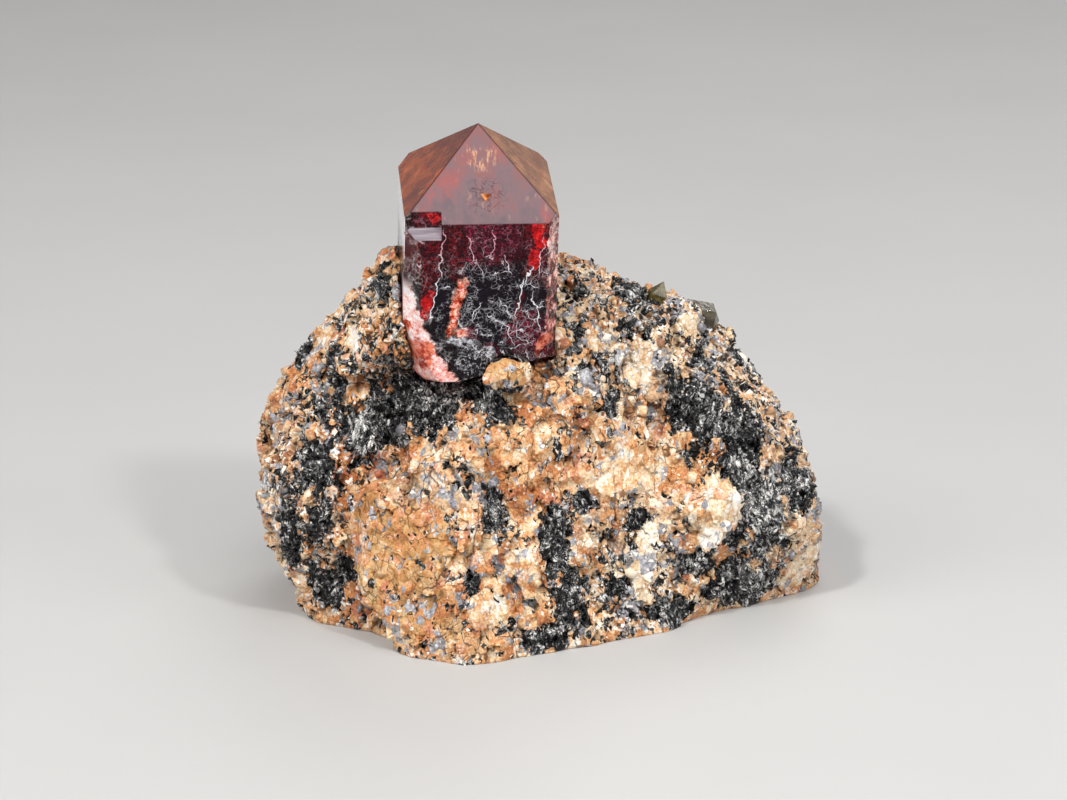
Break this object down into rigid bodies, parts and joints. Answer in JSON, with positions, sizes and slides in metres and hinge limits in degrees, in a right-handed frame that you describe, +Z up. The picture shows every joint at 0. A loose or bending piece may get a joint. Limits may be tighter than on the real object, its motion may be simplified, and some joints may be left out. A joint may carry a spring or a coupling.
{
  "type": "zircon crystal on matrix",
  "caption": "Deep red, four-sided zircon crystal with a pyramid top, standing on a lump of feldspar and biotite rock that rests on its flat cut base.",
  "frame": {"origin": "under the middle of the whole specimen, on the flat cut base", "axes": "+Z up; +X to the right along the rock's long side, seen from the side that shows the crystal; +Y away from that side"},
  "size_m": [0.0604, 0.0414, 0.0534],
  "materials": {
    "feldspar_biotite_rock": "rough broken rock of orange feldspar, pale quartz and glinting black biotite",
    "red_zircon": "glossy, deep red and partly see-through, with veils of fine cracks inside",
    "smoky_crystal": "glossy, smoky and see-through",
    "olive_crystal": "glossy, olive brown and partly see-through"
  },
  "bodies": {
    "root": {"matrix": "feldspar_biotite_rock", "zircon_crystal": "red_zircon", "smoky_crystal": "smoky_crystal", "olive_crystal": "olive_crystal"}
  },
  "joints": []
}
